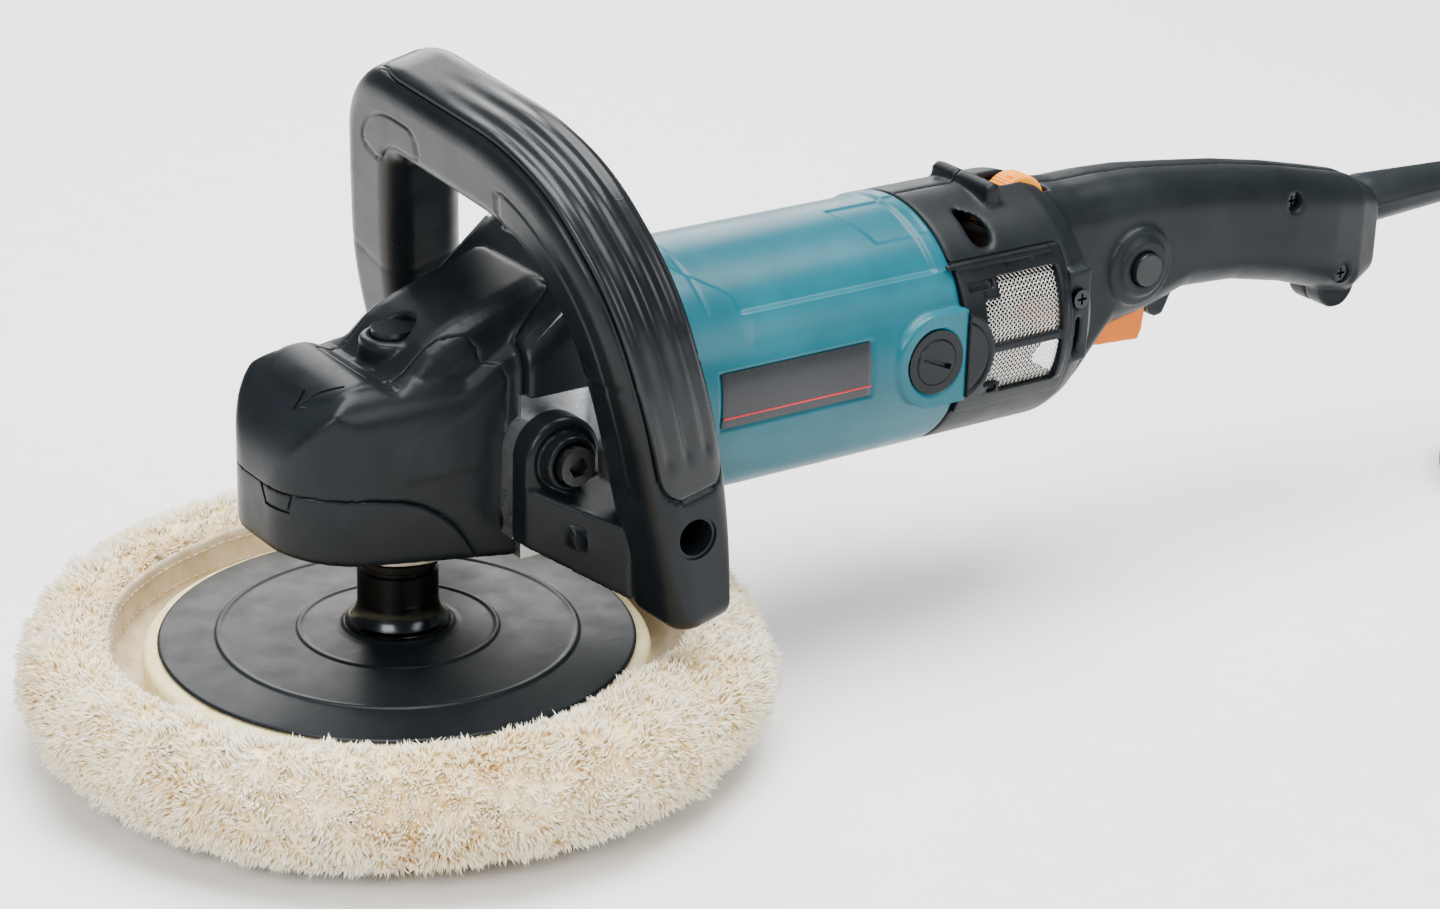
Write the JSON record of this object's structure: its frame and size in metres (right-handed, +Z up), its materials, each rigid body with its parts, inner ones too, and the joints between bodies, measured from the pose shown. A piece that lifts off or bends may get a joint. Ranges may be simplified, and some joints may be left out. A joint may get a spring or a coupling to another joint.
{
  "type": "rotary polisher",
  "caption": "Corded rotary polisher with a wool bonnet on a rubber pad, a loop front handle, a ribbed speed dial and a trigger rear handle.",
  "frame": {"origin": "on the spindle axis at the wool's working face", "axes": "+X towards the rear handle, +Y towards the operator's right, +Z up along the spindle"},
  "size_m": [0.669, 0.242, 0.2164],
  "materials": {
    "cast_aluminium": "cast, lightly blasted",
    "black_cover": "satin moulded, light scratches",
    "black_moulding": "fine moulded grain",
    "black_grip": "soft, fluted",
    "teal_housing": "semi-gloss moulded",
    "side_plate": "printed plate with a red line, blank",
    "signal_orange": "satin moulded",
    "steel_mesh": "woven wire",
    "steel": "turned or ground",
    "dark_steel": "blackened",
    "black_hub": "gloss black sleeve",
    "core_steel": "stacked laminations",
    "copper": "wound wire and bars",
    "brass": "stamped",
    "carbon": "pressed carbon",
    "inner_plastic": "plain moulded",
    "cord_rubber": "smooth sheath",
    "pad_rubber": "satin moulded",
    "foam": "foam with a hook face",
    "lining": "suede skirt with a stitched hem",
    "wool": "deep curly fleece"
  },
  "bodies": {
    "root": {"gear_housing": "cast_aluminium", "gear_plate": "cast_aluminium", "nose_cover": "black_cover", "lower_skirt": "black_cover", "neck_cover": "black_cover", "collar_cover": "black_cover", "loop_handle": "black_moulding", "loop_legs": "black_moulding", "handle_arms": "black_moulding", "rear_cover_left": "black_moulding", "rear_cover_right": "black_moulding", "filter_frames": "black_moulding", "filter_clips": "black_moulding", "brush_caps": "black_moulding", "handle_grip": "black_grip", "cord_guard": "black_grip", "motor_housing": "teal_housing", "side_plates": "side_plate", "filter_screens": "steel_mesh", "lower_spindle_bearing": "steel", "front_shaft_bearing": "steel", "rear_shaft_bearing": "steel", "front_motor_bearing": "steel", "rear_motor_bearing": "steel", "bearing_retainer": "steel", "trigger_pin": "steel", "dial_axle": "steel", "brush_springs": "steel", "shaft_lock_spring": "steel", "handle_bolts": "dark_steel", "cover_screws": "dark_steel", "gear_case_screws": "dark_steel", "field_core": "core_steel", "field_coils": "copper", "brush_holders": "brass", "carbon_brushes": "carbon", "switch_body": "inner_plastic", "speed_controller": "inner_plastic", "cord_clamp": "inner_plastic", "cord": "cord_rubber", "cord_coil": "cord_rubber", "plug": "cord_rubber"},
    "spindle_body": {"spindle": "steel", "bevel_gear": "steel", "pad_hub": "black_hub", "backing_pad": "pad_rubber", "hook_ring": "foam", "bonnet_lining": "lining", "wool_fleece": "wool"},
    "layshaft_body": {"intermediate_shaft": "steel", "bevel_pinion": "steel", "helical_gear": "steel"},
    "armature_body": {"armature_shaft": "steel", "armature_core": "core_steel", "commutator": "copper", "cooling_fan": "inner_plastic"},
    "shaft_lock": {"shaft_lock_button": "black_grip"},
    "trigger_body": {"trigger": "signal_orange"},
    "lock_button_body": {"lock_button": "black_grip"},
    "dial_body": {"speed_dial": "signal_orange"}
  },
  "joints": [
    {"name": "spindle_spin", "type": "hinge", "parent": "root", "child": "spindle_body", "pos_m": [0, 0, 0], "axis": [0, 0, 1], "continuous": true},
    {"name": "layshaft_spin", "type": "hinge", "parent": "root", "child": "layshaft_body", "pos_m": [0.05, 0, 0.13], "axis": [1, 0, 0], "continuous": true},
    {"name": "armature_spin", "type": "hinge", "parent": "root", "child": "armature_body", "pos_m": [0.1, 0, 0.107], "axis": [1, 0, 0], "continuous": true},
    {"name": "spindle_lock_press", "type": "slide", "parent": "root", "child": "shaft_lock", "axis": [0, 0, -1], "range_m": [0, 0.003], "stiffness_N_per_m": 400, "springref_m": -0.003, "deforming": ["shaft_lock_spring"]},
    {"name": "trigger_squeeze", "type": "hinge", "parent": "root", "child": "trigger_body", "pos_m": [0.262, 0, 0.093], "axis": [0, -1, 0], "range_deg": [0, 7], "stiffness_Nm_per_rad": 0.6, "springref_deg": -14.32},
    {"name": "lock_button_press", "type": "slide", "parent": "root", "child": "lock_button_body", "axis": [0, 1, 0], "range_m": [0, 0.004], "stiffness_N_per_m": 300, "springref_m": -0.002},
    {"name": "speed_dial_turn", "type": "hinge", "parent": "root", "child": "dial_body", "pos_m": [0.246, 0, 0.1405], "axis": [0, 1, 0], "range_deg": [-135, 135]}
  ],
  "couplings": [
    {"joint": "layshaft_spin", "follows": "spindle_spin", "ratio": 2.5333},
    {"joint": "armature_spin", "follows": "spindle_spin", "ratio": -10.133}
  ]
}
